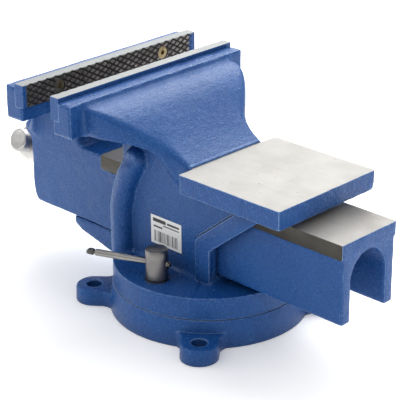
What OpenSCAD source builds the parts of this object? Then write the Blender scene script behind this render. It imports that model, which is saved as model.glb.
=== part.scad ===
// Bench vise: swivel base, body with anvil and fixed jaw, sliding U beam with moving jaw,
// lead screw with sliding T handle, two T-bolt swivel locks with sliding lock bars.
// Frame: origin under the middle of the base, +Z up, the screw runs along Y with the
// handle end at -Y, the jaws run along X.

/* [Jaws] */
// Width of both jaws and of the jaw plates
jaw_w = 200; // [170:1:240]
// Opening between the jaw plates as drawn
jaw_gap = 34; // [20:1:60]
// Thickness of a jaw plate
plate_t = 9.8; // [8:0.1:12]
// Height of a jaw plate
plate_h = 19.8; // [18:0.1:22]
// How far a jaw plate stands above the cast ledge behind it
plate_step = 3.7; // [2:0.1:5]
// Depth of the cast ledge behind a jaw plate
ledge_t = 13.6; // [11:0.1:17]
// Height of the cast jaw block
block_h = 28.4; // [26:0.1:34]
// Distance of a plate screw from the middle of the jaw
plate_screw_x = 60; // [48:1:72]
// Shank diameter of a plate screw
plate_screw_d = 6; // [5:0.5:8]

/* [Slide beam] */
// Width of the slide beam over its cast sides
beam_w = 63.2; // [56:0.2:76]
// Height of the slide beam
beam_h = 68.5; // [64:0.5:82]
// Width of the channel inside the beam
channel_w = 41; // [38:0.5:46]
// Metal above the channel arch
crown_t = 14; // [12:0.5:17]
// How far the back end of the beam lies behind the swivel axis
beam_back = 170; // [160:1:200]
// Height of the machined side strip
strip_h = 12.5; // [10:0.5:15]
// How far the machined side strip stands out of the cast side
strip_out = 0.6; // [0.4:0.1:1]

/* [Body] */
// Width of the body over the raised rims
body_w = 83.2; // [80:0.2:100]
// Distance from the swivel axis to the fixed jaw plate face
jaw_face_y = 79.8; // [75:0.2:96]
// Radius of the round flange
flange_r = 81.6; // [76:0.2:98]
// Thickness of the round flange
flange_t = 19.6; // [16:0.2:24]
// Length of the support nose in front of the swivel axis
nose_len = 137; // [120:1:150]
// Radius of the half-round bead beside the front opening
bead_r = 10.5; // [8:0.5:12]
// Width of the raised rim at the back of the body
rim_w = 13; // [10:0.5:16]

/* [Anvil] */
// Width of the anvil across the vise
anvil_w = 114; // [100:1:136]
// Length of the anvil along the screw
anvil_l = 106; // [90:1:126]
// Thickness of the anvil slab
anvil_t = 16.4; // [13:0.2:20]

/* [Swivel base] */
// Radius of the base at the bottom
base_r = 84.8; // [80:0.2:102]
// Height of the base
base_h = 24; // [22:0.5:30]
// Radius of the bolt hole circle
lug_circle_r = 99; // [97:1:118]
// Radius of a mounting hole
lug_hole_r = 6.6; // [5:0.1:8]
// Radius of a lug end
lug_r = 16; // [14:0.5:18]
// Thickness of a lug
lug_t = 13.6; // [11:0.2:17]
// Turn of the lug pattern
lug_turn = 39.3; // [30:0.1:50]

/* [Lead screw] */
// Diameter of the lead screw
screw_d = 20; // [18:0.5:21]
// Diameter of the screw head
head_d = 38; // [32:0.5:42]
// Length of the screw head
head_l = 30; // [27:0.5:36]
// Height of the screw axis above the arch centre of the beam
screw_lift = 4.2; // [2:0.1:4.5]
// Radial running clearance of turning parts
run_fit = 0.08; // [0.04:0.01:0.1]

/* [Handle] */
// Diameter of the handle bar
handle_d = 14; // [11:0.5:15]
// Length of the handle over the knobs
handle_l = 216; // [180:1:216]
// Diameter of a handle knob
knob_d = 21; // [18:0.5:24]
// Length of a handle knob
knob_l = 14; // [11:0.5:16]
// Tilt of the handle as drawn, the near end up
handle_tilt = 24; // [0:1:24]

/* [Swivel locks] */
// Distance of a lock bolt from the swivel axis
lock_x = 61.5; // [59:0.5:64]
// Diameter of a lock nut
lock_nut_d = 19; // [17:0.5:21]
// Height of a lock nut
lock_nut_h = 26.2; // [23:0.2:30]
// Diameter of a lock bolt
lock_bolt_d = 12; // [10:0.5:12]
// Diameter of a lock bar
lock_bar_d = 5.2; // [4:0.1:6]
// Long reach of a lock bar from its nut axis
lock_reach = 63; // [50:1:64]
// Direction of the lock bar on the near side
lock_turn = -68; // [-80:1:-55]

/* [Hidden] */
$fn = 64;
flange_z = base_h + flange_t;
beam_z0 = flange_z + 5.4;
beam_z1 = beam_z0 + beam_h;
anvil_z0 = beam_z1 + 6.7;
anvil_z1 = anvil_z0 + anvil_t;
block_z0 = anvil_z1 + 20;
ledge_z = block_z0 + block_h;
plate_z1 = ledge_z + plate_step;
plate_z0 = plate_z1 - plate_h;
fix_face = -jaw_face_y;
fix_seat = fix_face + plate_t;
fix_back = fix_seat + ledge_t;
mov_face = fix_face - jaw_gap;
mov_seat = mov_face - plate_t;
mov_back = mov_seat - ledge_t + 1;
under_plate = 2.4;
socket_r = plate_screw_d * 0.38;
throat = 11;
front_y = mov_back - 54.3;
wall_y1 = front_y + 40;
slide_fit = 0.2;
tunnel_w = beam_w + 2 * strip_out + 2 * slide_fit;
side_w = body_w - 4;
arch_r = channel_w / 2;
arch_z = beam_z1 - crown_t - arch_r;
screw_z = arch_z + screw_lift;
screw_r = screw_d / 2;
boss_y = front_y - 2.5;
washer_t = 3;
head_y1 = boss_y - washer_t;
handle_y = head_y1 - head_l / 2;
head_reach = head_d / 2 + 0.6;
screw_end = 140;
sleeve_l = 16;
collar_l = 12;
collar_y0 = wall_y1 + sleeve_l;
anvil_y0 = 22.3;
body_back = 40;
body_front = -62;
gusset_z = flange_z + 30.4;
spigot_r = 22;
spigot_z0 = 9;
slot_z0 = 4;
slot_z1 = 13;
slot_half = 6.8;
tee_half = 12.6;
tee_s = 22;
lock_washer_t = 1.2;
lock_nut_z = flange_z + lock_washer_t;
lock_bar_z = flange_z + 14.5;
lock_bolt_top = lock_bar_z - lock_bar_d / 2 - 1;
nut_y0 = -24;
nut_y1 = 24;
nut_fit = 0.3;
nut_bolt_r = 6;
nut_bolt_top = screw_z - screw_r - 4;
flare_n = 12;
flare_w = 85;
flare_len = 70;
front_len = -front_y + mov_back;

// S-shaped fall from 1 to 0 over t = 0..1, p shifts the steep part.
function fall(t, p) = (1 + cos(180 * pow(min(1, max(0, t)), p))) / 2;
function flare_x(t, w1) = w1 + (flare_w * jaw_w / 200 - w1) * fall(t, 1.25);
function flare_top(t, z1) = z1 + (ledge_z - 4.4 - z1) * fall(t, 1.437);
function flare_low(t, z1) = block_z0 - 1 - (block_z0 - 1 - z1) * pow(min(1, t * 1.17), 3.24);

// Prism along X from an outline in the YZ plane.
module slab(w, pts)
    rotate([90, 0, 90]) linear_extrude(height = w, center = true) polygon(pts);

module box(x0, x1, y0, y1, z0, z1)
    translate([x0, y0, z0]) cube([x1 - x0, y1 - y0, z1 - z0]);

module cyl_y(r, y0, y1, x = 0, z = screw_z)
    translate([x, y0, z]) rotate([-90, 0, 0]) cylinder(r = r, h = y1 - y0);

// Flared cast wing behind a jaw block; s = 1 runs to +Y, s = -1 to -Y.
module flare(y0, len, s, w1, z1, low1) {
    top = [for (i = [0:flare_n]) [y0 + s * len * i / flare_n, flare_top(i / flare_n, z1)]];
    low = [for (i = [flare_n:-1:0]) [y0 + s * len * i / flare_n, flare_low(i / flare_n, low1)]];
    side = [for (i = [0:flare_n]) [flare_x(i / flare_n, w1), y0 + s * len * i / flare_n]];
    back = [for (i = [flare_n:-1:0]) [-flare_x(i / flare_n, w1), y0 + s * len * i / flare_n]];
    intersection() {
        slab(jaw_w, concat([[y0 - s * 5, ledge_z - 4.4]], top, low, [[y0 - s * 5, block_z0 - 1]]));
        linear_extrude(height = ledge_z)
            polygon(concat([[flare_w * jaw_w / 200, y0 - s * 5]], side, back,
                           [[-flare_w * jaw_w / 200, y0 - s * 5]]));
    }
}

// Jaw block outline with its plate seat; s = 1 seats the plate on the -Y side.
module jaw_block(face, seat, back, s) {
    slab(jaw_w, [[face + s * under_plate, block_z0], [face + s * under_plate, plate_z0],
                 [seat, plate_z0], [seat, ledge_z], [back, ledge_z], [back, block_z0]]);
}

module swivel_base() color("royalblue") difference() {
    union() {
        cylinder(r1 = base_r, r2 = base_r - 2.4, h = base_h);
        for (a = [0:90:270]) rotate([0, 0, lug_turn + a]) {
            translate([lug_circle_r, 0, 0]) cylinder(r = lug_r, h = lug_t);
            box(base_r - 30, lug_circle_r, -lug_r, lug_r, 0, lug_t);
        }
    }
    translate([0, 0, -1]) cylinder(r = spigot_r + run_fit, h = base_h + 2);
    for (a = [0:90:270]) rotate([0, 0, lug_turn + a]) translate([lug_circle_r, 0, -1])
        cylinder(r = lug_hole_r, h = lug_t + 2);
    rotate_extrude() translate([lock_x - slot_half, slot_z1 - 1])
        square([2 * slot_half, base_h]);
    rotate_extrude() translate([lock_x - tee_half, slot_z0])
        square([2 * tee_half, slot_z1 - slot_z0]);
    rotate([0, 0, lug_turn + 45]) translate([lock_x, 0, slot_z0]) cylinder(r = tee_half, h = base_h);
}

module body_shell() {
    translate([0, 0, base_h]) cylinder(r = flange_r, h = flange_t);
    translate([0, 0, spigot_z0]) cylinder(r = spigot_r, h = base_h - spigot_z0 + 1);
    slab(side_w, [[body_front, flange_z - 1], [body_back, flange_z - 1], [body_back, gusset_z],
                  [body_back + 64, anvil_z0 + 1], [anvil_y0 - 6, anvil_z1 - 0.6],
                  [-46, block_z0 + 4], [body_front, block_z0 + 4]]);
    slab(body_w, [[body_back - rim_w, flange_z - 1], [body_back, flange_z - 1],
                  [body_back, gusset_z], [body_back + 64, anvil_z0 + 1],
                  [body_back + 44, anvil_z0 + 1], [body_back - rim_w, gusset_z + 6]]);
    box(-anvil_w / 2, anvil_w / 2, anvil_y0, anvil_y0 + anvil_l, anvil_z0, anvil_z1);
    for (s = [-1, 1]) front_bead(s * (side_w / 2 + 0.4));
    slab(beam_w - 1, [[body_front + 4, base_h], [-80, base_h + 1.2], [-nose_len + 3, base_h + 15],
                      [-nose_len, base_h + 18], [-nose_len, beam_z0 - 3],
                      [-nose_len + 2, beam_z0], [body_front + 4, beam_z0]]);
    flare(fix_back, flare_len, 1, side_w / 2, anvil_z1 - 1.6, anvil_z0);
    jaw_block(fix_face, fix_seat, fix_back, 1);
}

// Half-round bead beside the front opening, leaning back toward the jaw at its top.
module front_bead(x) {
    bend = beam_z0 + 36;
    lean = 24;
    translate([x, body_front, flange_z - 1]) cylinder(r = bead_r, h = bend - flange_z + 3);
    translate([x, body_front, bend]) rotate([-15, 0, 0]) translate([0, 0, -2])
        cylinder(r = bead_r, h = lean + 4);
    translate([x, body_front + lean * sin(15), bend + lean * cos(15)]) rotate([-27, 0, 0])
        translate([0, 0, -3]) cylinder(r = bead_r, h = lean + 5);
}

module vise_body() color("royalblue") difference() {
    body_shell();
    box(-tunnel_w / 2, tunnel_w / 2, -nose_len - 9, beam_back, beam_z0, beam_z1 + slide_fit);
    for (s = [-1, 1]) translate([s * lock_x, 0, base_h - 1])
        cylinder(r = lock_bolt_d / 2, h = flange_t + 2);
    translate([0, 0, spigot_z0 - 1]) cylinder(r = nut_bolt_r, h = flange_z + 9);
    for (s = [-1, 1]) cyl_y(plate_screw_d / 2, fix_seat - 1, fix_seat + 12.5,
                            s * plate_screw_x, (plate_z0 + plate_z1) / 2);
}

// Jaw plate with two countersunk holes; s = 1 puts the working face on the -Y side.
module jaw_plate(face, s) difference() {
    box(-jaw_w / 2, jaw_w / 2, min(face, face + s * plate_t), max(face, face + s * plate_t),
        plate_z0, plate_z1);
    for (x = [-plate_screw_x, plate_screw_x])
        translate([x, face, (plate_z0 + plate_z1) / 2]) rotate([-90 * s, 0, 0]) {
            translate([0, 0, -1]) cylinder(r = plate_screw_d / 2, h = plate_t + 2);
            translate([0, 0, -1]) cylinder(r = plate_screw_d - 0.5, h = 1.6);
            translate([0, 0, 0.6])
                cylinder(r1 = plate_screw_d - 0.5, r2 = plate_screw_d / 2, h = 4.4);
        }
}

// Countersunk socket screws of one jaw plate.
module plate_screws(face, s)
    for (x = [-plate_screw_x, plate_screw_x])
        translate([x, face, (plate_z0 + plate_z1) / 2]) rotate([-90 * s, 0, 0]) difference() {
            union() {
                translate([0, 0, 0.6])
                    cylinder(r1 = plate_screw_d - 0.5, r2 = plate_screw_d / 2, h = 4.4);
                translate([0, 0, 4]) cylinder(r = plate_screw_d / 2, h = plate_t + 8);
            }
            cylinder(r = socket_r, h = 3.6, $fn = 6);
        }

module fixed_jaw_plate() color("dimgray") jaw_plate(fix_face, 1);

module moving_jaw_plate() color("dimgray") jaw_plate(mov_face, -1);

module fixed_plate_screws() color("goldenrod") plate_screws(fix_face, 1);

module moving_plate_screws() color("goldenrod") plate_screws(mov_face, -1);

module moving_shell() {
    throat_y = mov_back + ledge_t - 1 - 4.4;
    slab(beam_w, [[front_y + 6, beam_z0], [beam_back, beam_z0], [beam_back, beam_z1],
                  [throat_y + 16, beam_z1], [throat_y + 6, beam_z1 + 2], [throat_y + 1, beam_z1 + 7],
                  [throat_y, beam_z1 + 13], [throat_y, block_z0 + 4], [mov_back - 26, block_z0 + 4],
                  [front_y - 5, beam_z1 + 6], [front_y - 5, beam_z1 - 1],
                  [front_y, beam_z1 - 8], [front_y, beam_z0 + 18], [front_y + 2, beam_z0 + 5]]);
    box(-beam_w / 2 - strip_out, beam_w / 2 + strip_out, fix_face - 17, beam_back,
        beam_z1 - strip_h, beam_z1);
    cyl_y(head_d / 2 + 5, boss_y, front_y + 5);
    flare(mov_back, front_len, -1, beam_w / 2, beam_z1 + 6, beam_z1 + 2);
    jaw_block(mov_face, mov_seat, mov_back, -1);
}

module moving_jaw() color("royalblue") difference() {
    moving_shell();
    slab(channel_w, [[wall_y1, beam_z0 - 1], [beam_back + 1, beam_z0 - 1],
                     [beam_back + 1, arch_z], [wall_y1, arch_z]]);
    cyl_y(arch_r, wall_y1, beam_back + 1, 0, arch_z);
    cyl_y(screw_r + run_fit, boss_y - 1, wall_y1 + 1);
    for (s = [-1, 1]) cyl_y(plate_screw_d / 2, mov_seat - 12.5, mov_seat + 1,
                            s * plate_screw_x, (plate_z0 + plate_z1) / 2);
}

module lead_screw() color("silver") difference() {
    union() {
        cyl_y(screw_r, head_y1 - 1, screw_end);
        cyl_y(head_d / 2, head_y1 - head_l, head_y1);
    }
    handle_frame() cylinder(r = handle_d / 2 + run_fit, h = head_d + 2, center = true);
    translate([0, collar_y0 + collar_l / 2, screw_z]) cylinder(r = 2.5, h = 40, center = true);
}

module thrust_washer() color("silver") difference() {
    cyl_y(head_d / 2 + 1, head_y1, boss_y);
    cyl_y(screw_r + run_fit, head_y1 - 1, boss_y + 1);
}

module distance_sleeve() color("gray") difference() {
    cyl_y(screw_r + 3.5, wall_y1, collar_y0);
    cyl_y(screw_r, wall_y1 - 1, collar_y0 + 1);
}

module retaining_collar() color("gray") difference() {
    cyl_y(screw_r + 5, collar_y0, collar_y0 + collar_l);
    cyl_y(screw_r, collar_y0 - 1, collar_y0 + collar_l + 1);
    translate([0, collar_y0 + collar_l / 2, screw_z]) cylinder(r = 2.5, h = 40, center = true);
}

module collar_pin() color("silver")
    translate([0, collar_y0 + collar_l / 2, screw_z])
        cylinder(r = 2.5, h = 2 * screw_r + 9, center = true);

module lead_nut() color("gray") difference() {
    union() {
        box(-15, 15, nut_y0, nut_y1, beam_z0, arch_z);
        box(-15, 15, nut_y0 - 8, nut_y1 + 8, beam_z0, beam_z0 + 10);
        intersection() {
            cyl_y(arch_r - 1, nut_y0, nut_y1, 0, arch_z);
            box(-18, 18, nut_y0, nut_y1, arch_z - 4, beam_z1);
        }
    }
    cyl_y(screw_r + nut_fit, nut_y0 - 1, nut_y1 + 1);
    translate([0, 0, beam_z0 - 1]) cylinder(r = nut_bolt_r, h = nut_bolt_top - beam_z0 + 1);
}

module nut_bolt() color("silver") {
    translate([0, 0, 1]) cylinder(r = 10.5, h = spigot_z0 - 3.4, $fn = 6);
    translate([0, 0, 5]) cylinder(r = nut_bolt_r, h = nut_bolt_top - 5);
}

module nut_washer() color("silver")
    translate([0, 0, spigot_z0 - 2.4]) difference() {
        cylinder(r = 12, h = 2.4);
        translate([0, 0, -1]) cylinder(r = nut_bolt_r, h = 5);
    }

// Local frame of the handle: origin at the crossing with the screw axis, +Z toward the near knob.
module handle_frame()
    translate([0, handle_y, screw_z]) rotate([0, 90 - handle_tilt, 0]) children();

module handle_bar() color("silver") handle_frame()
    translate([0, 0, head_reach + knob_l - handle_l + 2]) cylinder(r = handle_d / 2, h = handle_l - 4);

module knob() difference() {
    rotate_extrude() polygon([[0, 0], [knob_d / 2 - 1, 0], [knob_d / 2, 1],
                              [knob_d / 2, knob_l - 1.5], [knob_d / 2 - 1.5, knob_l], [0, knob_l]]);
    translate([0, 0, -1]) cylinder(r = handle_d / 2, h = knob_l - 1);
}

module handle_knob_near() color("gray") handle_frame()
    translate([0, 0, head_reach]) knob();

module handle_knob_far() color("gray") handle_frame()
    translate([0, 0, head_reach + 2 * knob_l - handle_l]) rotate([180, 0, 0]) knob();

// T-bolt standing in the base slot on side s.
module lock_bolt(s) {
    translate([s * lock_x - tee_s / 2, -tee_s / 2, slot_z0 + 0.6])
        cube([tee_s, tee_s, slot_z1 - slot_z0 - 1.6]);
    translate([s * lock_x, 0, slot_z1 - 2]) cylinder(r = lock_bolt_d / 2, h = lock_bolt_top - slot_z1 + 2);
}

module lock_bolt_near() color("silver") lock_bolt(1);

module lock_bolt_far() color("silver") lock_bolt(-1);

module lock_washer(s) translate([s * lock_x, 0, flange_z]) difference() {
    cylinder(r = lock_nut_d / 2 + 0.8, h = lock_washer_t);
    translate([0, 0, -1]) cylinder(r = lock_bolt_d / 2, h = 4);
}

module lock_washer_near() color("silver") lock_washer(1);

module lock_washer_far() color("silver") lock_washer(-1);

// Plane direction of the lock bar: mirrored on the far side.
module lock_frame(s)
    translate([s * lock_x, 0, lock_bar_z]) rotate([0, 0, s > 0 ? lock_turn : 180 - lock_turn])
        rotate([0, 90, 0]) children();

module lock_nut(s) difference() {
    translate([s * lock_x, 0, lock_nut_z]) rotate_extrude()
        polygon([[0, 0], [lock_nut_d / 2, 0], [lock_nut_d / 2, lock_nut_h - 1.2],
                 [lock_nut_d / 2 - 1.2, lock_nut_h], [0, lock_nut_h]]);
    translate([s * lock_x, 0, lock_nut_z - 1])
        cylinder(r = lock_bolt_d / 2 + run_fit, h = lock_bolt_top - lock_nut_z + 1.2);
    lock_frame(s) cylinder(r = lock_bar_d / 2 + run_fit, h = 40, center = true);
}

module lock_nut_near() color("gray") lock_nut(1);

module lock_nut_far() color("gray") lock_nut(-1);

module lock_bar(s) lock_frame(s)
    translate([0, 0, -lock_nut_d / 2 - 4]) cylinder(r = lock_bar_d / 2, h = lock_reach + lock_nut_d / 2 + 4);

module lock_bar_near() color("silver") lock_bar(1);

module lock_bar_far() color("silver") lock_bar(-1);

swivel_base();
vise_body();
fixed_jaw_plate();
fixed_plate_screws();
moving_jaw();
moving_jaw_plate();
moving_plate_screws();
lead_screw();
thrust_washer();
distance_sleeve();
retaining_collar();
collar_pin();
lead_nut();
nut_bolt();
nut_washer();
handle_bar();
handle_knob_near();
handle_knob_far();
lock_bolt_near();
lock_bolt_far();
lock_washer_near();
lock_washer_far();
lock_nut_near();
lock_nut_far();
lock_bar_near();
lock_bar_far();
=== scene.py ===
"""Looks of the bench vise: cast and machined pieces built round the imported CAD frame."""

import math

import bmesh
import bpy
import numpy as np
import openvdb
from mathutils import Matrix, Vector


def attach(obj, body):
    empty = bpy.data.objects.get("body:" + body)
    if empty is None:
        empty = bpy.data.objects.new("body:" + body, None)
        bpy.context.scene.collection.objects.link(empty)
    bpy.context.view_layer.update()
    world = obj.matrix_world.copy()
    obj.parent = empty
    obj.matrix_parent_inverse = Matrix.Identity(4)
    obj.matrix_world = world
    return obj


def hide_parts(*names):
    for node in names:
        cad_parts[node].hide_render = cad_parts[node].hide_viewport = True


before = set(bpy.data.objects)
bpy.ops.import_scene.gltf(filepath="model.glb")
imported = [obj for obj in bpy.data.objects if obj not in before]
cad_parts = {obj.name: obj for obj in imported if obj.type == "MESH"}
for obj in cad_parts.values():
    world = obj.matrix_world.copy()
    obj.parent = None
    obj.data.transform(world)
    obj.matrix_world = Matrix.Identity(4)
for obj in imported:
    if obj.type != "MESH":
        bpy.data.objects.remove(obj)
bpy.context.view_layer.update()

MM = 0.001

# Sizes of the part in mm, as in the CAD model.
JAW = 100.0
FIX_FACE, FIX_SEAT, FIX_BACK = -79.8, -70.0, -56.4
MOV_FACE, MOV_SEAT, MOV_BACK = -113.8, -123.6, -136.2
PLATE_Z0, LEDGE_Z, PLATE_Z1 = 172.9, 189.0, 192.7
BLOCK_Z0 = 160.6
BASE_H, FLANGE_Z = 24.0, 43.6
BEAM_Z0, BEAM_Z1 = 49.0, 117.5
ANVIL_Z0, ANVIL_Z1 = 124.2, 140.6
ARCH_Z, ARCH_R = 83.0, 20.5
SCREW_Z = 87.2
FRONT_Y = -190.5
LOCK_X = 61.5
FLANGE_R, RIM_R = 81.6, 81.0
PLATE_SCREW_X, PLATE_SCREW_Z = 60, 182.8
FLARE_W = 85.0
LUG_TURN, LUG_CIRCLE, LUG_HOLE_R = 39.3, 99.0, 6.6
# Upper outline of the fixed jaw's neck: its height at these places along y.
APRON_Y = (-56.4, -52, -47, -42, -38, -33, -28, -23, -18, -13, -8, -2, 4, 9, 14)
APRON_TOP = (184.6, 184.5, 184.0, 183.1, 181.9, 179.8, 176.8, 172.9, 168.2, 163.0, 157.6, 151.2, 145.2, 140.6,
             137.0)
HANDLE_Y = -211.0
TILT = math.radians(24.0)

# How near to a machined plane, in mm, a face has to lie to count as part of it.
FLAT = 0.03


# ---------------------------------------------------------------- node helpers

class Mat:
    """A material being built: add nodes with n(), link with l()."""

    def __init__(self, name):
        self.m = bpy.data.materials.new(name)
        self.m.use_nodes = True
        self.t = self.m.node_tree
        self.b = self.t.nodes["Principled BSDF"]
        self.pos = self.n("ShaderNodeTexCoord").outputs["Object"]

    def n(self, kind, **settings):
        """New node with these settings."""
        node = self.t.nodes.new(kind)
        for key, value in settings.items():
            setattr(node, key, value)
        return node

    def l(self, a, b):
        self.t.links.new(a, b)

    def noise(self, scale, detail=2.0, rough=0.5, stretch=None):
        node = self.n("ShaderNodeTexNoise")
        node.inputs["Scale"].default_value = scale
        node.inputs["Detail"].default_value = detail
        node.inputs["Roughness"].default_value = rough
        self.l(self.stretched(stretch), node.inputs["Vector"])
        return node.outputs["Fac"]

    def cells(self, scale):
        node = self.n("ShaderNodeTexVoronoi", feature="F1")
        node.inputs["Scale"].default_value = scale
        self.l(self.pos, node.inputs["Vector"])
        return node.outputs["Distance"]

    def stretched(self, stretch):
        if stretch is None:
            return self.pos
        node = self.n("ShaderNodeMapping")
        node.inputs["Scale"].default_value = stretch
        self.l(self.pos, node.inputs["Vector"])
        return node.outputs["Vector"]

    def ramp(self, value, stops):
        """Colour or grey ramp over value; stops are (place, colour or grey)."""
        node = self.n("ShaderNodeValToRGB")
        ramp = node.color_ramp
        while len(ramp.elements) < len(stops):
            ramp.elements.new(0.5)
        for element, (place, colour) in zip(ramp.elements, stops):
            if not hasattr(colour, "__len__"):
                colour = (colour, colour, colour)
            element.position = place
            element.color = (*colour, 1.0)
        self.l(value, node.inputs["Fac"])
        return node.outputs["Color"]

    def math(self, op, a, b):
        node = self.n("ShaderNodeMath", operation=op)
        for socket, value in zip(node.inputs, (a, b)):
            if isinstance(value, (int, float)):
                socket.default_value = value
            else:
                self.l(value, socket)
        return node.outputs["Value"]

    def mix(self, fac, a, b, kind="MIX"):
        node = self.n("ShaderNodeMix", data_type="RGBA", blend_type=kind)
        for socket, value in ((node.inputs["Factor"], fac), (node.inputs["A"], a), (node.inputs["B"], b)):
            if isinstance(value, (int, float)):
                socket.default_value = value
            elif isinstance(value, tuple):
                socket.default_value = (*value, 1.0)
            else:
                self.l(value, socket)
        return node.outputs["Result"]

    def bump(self, height, distance, after=None):
        node = self.n("ShaderNodeBump")
        node.inputs["Strength"].default_value = 1.0
        node.inputs["Distance"].default_value = distance
        self.l(height, node.inputs["Height"])
        if after is not None:
            self.l(after, node.inputs["Normal"])
        return node.outputs["Normal"]

    def edges(self, width):
        """0 on flat faces, rising on edges up to about 0.3; doesn't depend on how fine the mesh is."""
        bevel = self.n("ShaderNodeBevel", samples=6)
        bevel.inputs["Radius"].default_value = width
        dot = self.n("ShaderNodeVectorMath", operation="DOT_PRODUCT")
        self.l(bevel.outputs["Normal"], dot.inputs[0])
        self.l(self.n("ShaderNodeNewGeometry").outputs["True Normal"], dot.inputs[1])
        return self.math("MULTIPLY", self.math("SUBTRACT", 1.0, dot.outputs["Value"]), 2.0)

    def gaps(self, reach, clear=0.62):
        """1 deep in a gap or inner corner, 0 in the open."""
        shade = self.n("ShaderNodeAmbientOcclusion", samples=8)
        shade.inputs["Distance"].default_value = reach
        return self.ramp(shade.outputs["AO"], [(0.15, 1.0), (clear, 0.0)])

    def out(self, **sockets):
        for name, value in sockets.items():
            socket = self.b.inputs[name.replace("_", " ")]
            if isinstance(value, (int, float)):
                socket.default_value = value
            elif isinstance(value, tuple):
                socket.default_value = (*value, 1.0) if len(value) == 3 else value
            else:
                self.l(value, socket)
        return self.m


def blue_paint(name="blue_paint", edge_highlight=0.95):
    """Thick gloss paint over sand-cast iron: fine lumps, lighter speckle that is partly a painted highlight,
    a painted highlight along edges and painted shade in hollows and narrow gaps.
    """
    m = Mat(name)
    base = m.ramp(m.noise(16, 3), [(0.3, (0.0045, 0.054, 0.225)), (0.7, (0.0062, 0.068, 0.262))])
    grain = m.noise(760, 2, 0.6)
    # Lighter speckle on the grain's peaks: fine orange-peel texture, partly a painted highlight standing in
    # for glints.
    colour = m.mix(m.ramp(grain, [(0.5, 0.0), (0.7, 0.75)]), base, (0.04, 0.145, 0.40))
    colour = m.mix(m.ramp(grain, [(0.28, 0.16), (0.42, 0.0)]), colour, (0.003, 0.03, 0.14))
    # Painted shade: darker blue in hollows and under overhangs, then darker still in narrow gaps and inner
    # corners.
    colour = m.mix(m.math("MULTIPLY", m.gaps(0.03, 0.85), 0.6), colour, (0.002, 0.018, 0.08))
    colour = m.mix(m.math("MULTIPLY", m.gaps(0.006), 0.8), colour, (0.002, 0.012, 0.06))
    # Painted highlight: paler blue along convex edges, with ragged borders and kept off inner corners; the
    # second argument sets how strong it is.
    ragged = m.math("MULTIPLY", m.math("SUBTRACT", m.noise(300, 2), 0.5), 0.35)
    edge = m.ramp(m.math("ADD", m.edges(0.0016), ragged), [(0.08, 0.0), (0.3, 1.0)])
    edge = m.math("MULTIPLY", edge, m.math("SUBTRACT", 1.0, m.math("MULTIPLY", m.gaps(0.004, 0.95), 1.2)))
    colour = m.mix(m.math("MULTIPLY", edge, edge_highlight), colour, (0.30, 0.46, 0.74))
    normal = m.bump(m.noise(210, 2), 0.0003)
    normal = m.bump(grain, 0.00055, after=normal)
    rough = m.ramp(m.noise(260, 3), [(0.3, 0.25), (0.7, 0.38)])
    return m.out(Base_Color=colour, Roughness=rough, Normal=normal, Specular_IOR_Level=0.36,
                 Specular_Tint=(0.82, 0.93, 1.0))


def ground_steel(name, tint, stain, lines, rough, amount, metal=1.0):
    """Milled or ground iron: fine parallel tool lines, oil haze in patches, dark specks and a few pits."""
    m = Mat(name)
    haze = m.ramp(m.noise(22, 4), [(0.42, 0.0), (0.75, 1.0)])
    tool = m.noise(1.0, 3, stretch=lines)
    colour = m.mix(m.math("MULTIPLY", haze, amount), tint, stain)
    colour = m.mix(m.ramp(m.noise(390, 1), [(0.735, 0.0), (0.77, 0.7)]), colour, (0.05, 0.042, 0.036))
    colour = m.mix(0.16, colour, m.ramp(tool, [(0.3, 0.45), (0.7, 0.95)]), "MULTIPLY")
    pit = m.ramp(m.cells(46), [(0.035, 1.0), (0.06, 0.0)])
    colour = m.mix(m.math("MULTIPLY", pit, 0.65), colour, (0.12, 0.10, 0.08))
    normal = m.bump(tool, 0.00005)
    normal = m.bump(m.noise(500, 2), 0.00004, after=normal)
    return m.out(Base_Color=colour, Metallic=metal, Normal=normal,
                 Roughness=m.ramp(m.noise(60, 3), [(0.3, rough[0]), (0.7, rough[1])]))


def turned_steel(name, axis, tint, rough=(0.28, 0.42), lines=1600.0, fine=0.00005):
    """Lathe-turned steel with rings across the given axis and a painted highlight along its edges."""
    m = Mat(name)
    stretch = [40.0, 40.0, 40.0]
    stretch["XYZ".index(axis)] = lines
    ring = m.noise(1.0, 2, stretch=stretch)
    smudge = m.noise(90, 4)
    dark = tuple(0.55 * c for c in tint)
    colour = m.mix(m.ramp(smudge, [(0.35, 0.0), (0.75, 0.55)]), tint, dark)
    # Painted highlight: lighter steel along the edges.
    light = tuple(min(1, 1.35 * c) for c in tint)
    colour = m.mix(m.ramp(m.edges(0.0007), [(0.15, 0.0), (0.45, 0.5)]), colour, light)
    normal = m.bump(ring, 0.00006)
    normal = m.bump(m.noise(1100, 2), fine, after=normal)
    return m.out(Base_Color=colour, Metallic=1.0, Normal=normal,
                 Roughness=m.ramp(smudge, [(0.3, rough[0]), (0.7, rough[1])]))


def black_groove():
    """Blackened, oily grooves of the knurled jaw faces."""
    m = Mat("black_groove")
    colour = m.ramp(m.noise(400, 3), [(0.3, (0.006, 0.005, 0.005)), (0.7, (0.016, 0.014, 0.013))])
    return m.out(Base_Color=colour, Metallic=0.3,
                 Roughness=m.ramp(m.noise(200, 3), [(0.3, 0.45), (0.7, 0.65)]),
                 Normal=m.bump(m.noise(900, 2), 0.0001))


def diamond_top():
    """Flat tops of the diamonds: blackened steel rubbed grey."""
    m = Mat("diamond_top")
    edge_highlight = m.ramp(m.noise(170, 4), [(0.3, 0.0), (0.7, 1.0)])
    colour = m.mix(edge_highlight, (0.10, 0.09, 0.085), (0.27, 0.245, 0.235))
    return m.out(Base_Color=colour, Metallic=0.85,
                 Roughness=m.ramp(m.noise(240, 3), [(0.3, 0.34), (0.7, 0.52)]),
                 Normal=m.bump(m.noise(900, 3), 0.00008))


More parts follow.
